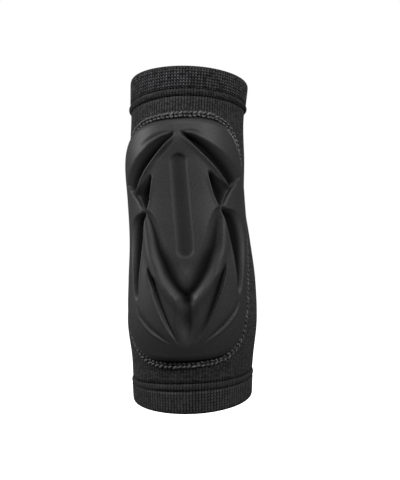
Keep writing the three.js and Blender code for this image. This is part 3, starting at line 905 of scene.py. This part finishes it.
def edge_places(off, count):
    """Evenly spaced places along a line that runs outside the pad's edge, with its directions there."""
    turn = np.linspace(0, 2 * math.pi, EDGE_SAMPLES, endpoint=False)
    scale = 1 / np.maximum(np.abs(np.cos(turn)), np.abs(np.sin(turn)))
    x, y = pad_place(np.cos(turn) * scale, np.sin(turn) * scale)
    x, y = np.append(x, x[0]), np.append(y, y[0])
    run = np.concatenate([[0], np.cumsum(np.hypot(np.diff(x), np.diff(y)))])
    at = np.linspace(0, run[-1], count, endpoint=False)
    x, y = np.interp(at, run, x), np.interp(at, run, y)
    along_x = np.roll(x, -1) - np.roll(x, 1)
    along_y = np.roll(y, -1) - np.roll(y, 1)
    size = np.hypot(along_x, along_y)
    along_x, along_y = along_x / size, along_y / size
    return x + along_y * off, y - along_x * off, along_x, along_y


def edge_length():
    """Length of the pad's edge in millimetres."""
    x, y, _, _ = edge_places(0, count=1000)
    return float(np.hypot(np.diff(np.append(x, x[0])), np.diff(np.append(y, y[0]))).sum())


strip, strip_round, strip_across = new_grid("pressed_knit_strip", STRIP_STEPS, len(STRIP_OUTLINE) - 1)
strip_row = np.rint(strip_across * (len(STRIP_OUTLINE) - 1)).astype(int)
strip_step = np.mod(np.rint(strip_round * STRIP_STEPS).astype(int), STRIP_STEPS)
offs, rises = np.array(STRIP_OUTLINE).T
edge_x, edge_y, way_x, way_y = edge_places(0, STRIP_STEPS)
strip_x = edge_x[strip_step] + way_y[strip_step] * offs[strip_row]
strip_y = edge_y[strip_step] - way_x[strip_step] * offs[strip_row]
move_vertices(strip, pad_points(strip_x, strip_y, rises[strip_row]))
scale_uv(strip, edge_length() / STRIP_RIB, STRIP_COURSES)
close_seams(strip)
strip.data.materials.append(rib_knit)
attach(strip, "root")
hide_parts("stitch_band")


def place_threads(row, pieces):
    """Lays one stitch after another along a line outside the pad's edge. Each is a bowed piece of
    thread, turned by its lean from the way that the row runs."""
    count = round(edge_length() / row["pitch"])
    stray = np.random.default_rng(round(row["off"] * 10)).normal(0, 1, (4, count))
    x, y, along_x, along_y = edge_places(row["off"], count)
    x, y = x + stray[0] * PLACE_STRAY, y + stray[1] * PLACE_STRAY
    lift = np.full(count, PAD_GAP + BAND_THICKNESS + row["lift"])
    here = pad_points(x, y, lift)
    ahead = pad_points(x + along_x, y + along_y, lift)
    above = pad_points(x, y, lift + 1)
    for i in range(count):
        way = (ahead[i] - here[i]) / np.linalg.norm(ahead[i] - here[i])
        up = above[i] - here[i]
        up = up - way * np.dot(up, way)
        up = up / np.linalg.norm(up)
        side = np.cross(up, way)
        slant = row["lean"] + stray[2, i] * TURN_STRAY
        turned = way * math.cos(slant) + side * math.sin(slant)
        cross = np.cross(up, turned)
        thread = thread_shape.copy()
        thread.data = thread_shape.data.copy()
        half_length = row["length"] / 2 * (1 + stray[3, i] * LENGTH_STRAY)
        points = thread_points * [half_length, THREAD_WIDTH / 2, THREAD_WIDTH / 2]
        points[:, 2] -= (thread_points[:, 0] ** 2) * THREAD_WIDTH * THREAD_BOW
        points = points * MM
        world = here[i] + points[:, :1] * turned + points[:, 1:2] * cross + points[:, 2:] * up
        move_vertices(thread, world)
        bpy.context.scene.collection.objects.link(thread)
        pieces.append(thread)


bpy.ops.object.select_all(action="DESELECT")
bpy.ops.mesh.primitive_uv_sphere_add(segments=8, ring_count=8, radius=1)
thread_shape = bpy.context.object
bpy.ops.object.mode_set(mode="EDIT")
bpy.ops.mesh.select_all(action="SELECT")
bpy.ops.transform.rotate(value=math.pi / 2, orient_axis="Y", center_override=(0, 0, 0))
bpy.ops.object.mode_set(mode="OBJECT")
bpy.ops.object.shade_smooth()
thread_points = np.empty(len(thread_shape.data.vertices) * 3)
thread_shape.data.vertices.foreach_get("co", thread_points)
thread_points = thread_points.reshape(-1, 3)
threads = []
place_threads(DASHES, threads)
place_threads(PLAIT, threads)
bpy.data.objects.remove(thread_shape)
bpy.ops.object.select_all(action="DESELECT")
for thread in threads:
    thread.select_set(True)
bpy.context.view_layer.objects.active = threads[0]
bpy.ops.object.join()
stitches = bpy.context.object
stitches.name = "overlock_threads"

# The thread is spun polyester, textured to stretch with the knit. To the eye it is a dark grey a little
# lighter than the knit, with a faint gleam, a fine twist and fluff that greys it here and there.
THREAD_TWIST = 0.9
THREAD_WEAR = 3.8
THREAD_RELIEF = 0.15

thread_material, thread_tree, thread_shader = new_material("dark grey overlock thread")
thread_position = add_node(thread_tree, "ShaderNodeTexCoord")
thread_twist = add_node(
    thread_tree, "ShaderNodeTexNoise",
    {
        "Vector": thread_position.outputs["Object"],
        "Scale": 1 / (THREAD_TWIST * MM),
        "Detail": 2.0,
        "Roughness": 0.6,
    },
)
thread_bump = add_node(
    thread_tree, "ShaderNodeBump",
    {"Strength": 0.6, "Distance": THREAD_RELIEF * MM, "Height": thread_twist.outputs["Fac"]},
)
thread_wear = add_node(
    thread_tree, "ShaderNodeTexNoise",
    {
        "Vector": thread_position.outputs["Object"],
        "Scale": 1 / (THREAD_WEAR * MM),
        "Detail": 1.0,
        "Roughness": 0.5,
    },
)
thread_light = add_node(
    thread_tree, "ShaderNodeMapRange",
    {"Value": thread_wear.outputs["Fac"], "From Min": 0.32, "From Max": 0.68},
)
thread_colour = add_node(
    thread_tree, "ShaderNodeMix",
    {"Factor": thread_light.outputs[0], "A": linear("#2a2a2b"), "B": linear("#5a5a5b")},
    data_type="RGBA",
)
thread_tree.links.new(thread_colour.outputs["Result"], thread_shader.inputs["Base Color"])
thread_tree.links.new(thread_bump.outputs["Normal"], thread_shader.inputs["Normal"])
thread_shader.inputs["Roughness"].default_value = 0.7
thread_shader.inputs["Sheen Weight"].default_value = 0.1
stitches.data.materials.clear()
stitches.data.materials.append(thread_material)
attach(stitches, "root")
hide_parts("stitch_band")


# Studio
# The guard is held up in front of plain white, over a pale floor. One soft light grazes it from the
# left, one stands in front on the right, one hangs high in front, and a weak one lights its back.
CAMERA_DISTANCE = 0.90
CAMERA_AZIMUTH = math.radians(6)
CAMERA_LENS = 91.9
AIM_RIGHT = 0.0077
FLOOR_SIZE = 12
FLOOR_DROP = 0.10
ROOM_LIGHT = 0.12

back = np.array([math.sin(CAMERA_AZIMUTH), -math.cos(CAMERA_AZIMUTH), 0])
right = np.array([math.cos(CAMERA_AZIMUTH), math.sin(CAMERA_AZIMUTH), 0])
bpy.ops.object.camera_add(
    location=back * CAMERA_DISTANCE + right * AIM_RIGHT,
    rotation=(math.pi / 2, 0, CAMERA_AZIMUTH),
)
camera = bpy.context.object
camera.data.lens = CAMERA_LENS
camera.data.sensor_width = 36
bpy.context.scene.camera = camera
bpy.context.scene.view_settings.view_transform = "Standard"


def add_light(name, place, power, size):
    """A soft square light that faces the guard."""
    bpy.ops.object.light_add(type="AREA", location=place)
    light = bpy.context.object
    light.name = name
    light.data.energy = power
    light.data.size = size
    to_guard = -light.location
    light.rotation_mode = "QUATERNION"
    light.rotation_quaternion = to_guard.to_track_quat("-Z", "Y")


add_light("high_front_softbox", (-0.05, -0.8, 1.1), 8, 0.4)
add_light("left_rim_softbox", (-1.5, -0.25, 0.6), 26, 0.5)
add_light("right_front_softbox", (0.9, -1.0, 0.75), 20, 0.5)
add_light("weak_back_fill", (0.4, 1.4, 0.8), 8, 0.8)

bpy.ops.object.select_all(action="DESELECT")
bpy.ops.mesh.primitive_plane_add(size=FLOOR_SIZE, location=(0, 0, cad_box[0][2] - FLOOR_DROP))
floor = bpy.context.object
floor.name = "pale_floor"
floor_paint, _, floor_shader = new_material("pale matt paint")
floor_shader.inputs["Base Color"].default_value = linear("#f4f4f4")
floor_shader.inputs["Roughness"].default_value = 0.9
floor_shader.inputs["Emission Color"].default_value = (1, 1, 1, 1)
floor_shader.inputs["Emission Strength"].default_value = 1.0
floor.data.materials.append(floor_paint)

# The floor is bright by itself, and throws no light or reflection on the guard.
floor.visible_diffuse = False
floor.visible_glossy = False

world = bpy.data.worlds.new("white studio")
bpy.context.scene.world = world
world.use_nodes = True
world_tree = world.node_tree
world_light = world_tree.nodes["Background"]
world_light.inputs["Color"].default_value = (1, 1, 1, 1)
world_light.inputs["Strength"].default_value = ROOM_LIGHT
seen = add_node(world_tree, "ShaderNodeBackground", {"Color": (1, 1, 1, 1), "Strength": 1.0})
path = add_node(world_tree, "ShaderNodeLightPath")
mixed = add_node(
    world_tree, "ShaderNodeMixShader",
    {0: path.outputs["Is Camera Ray"], 1: world_light.outputs[0], 2: seen.outputs[0]},
)
world_tree.links.new(mixed.outputs[0], world_tree.nodes["World Output"].inputs["Surface"])
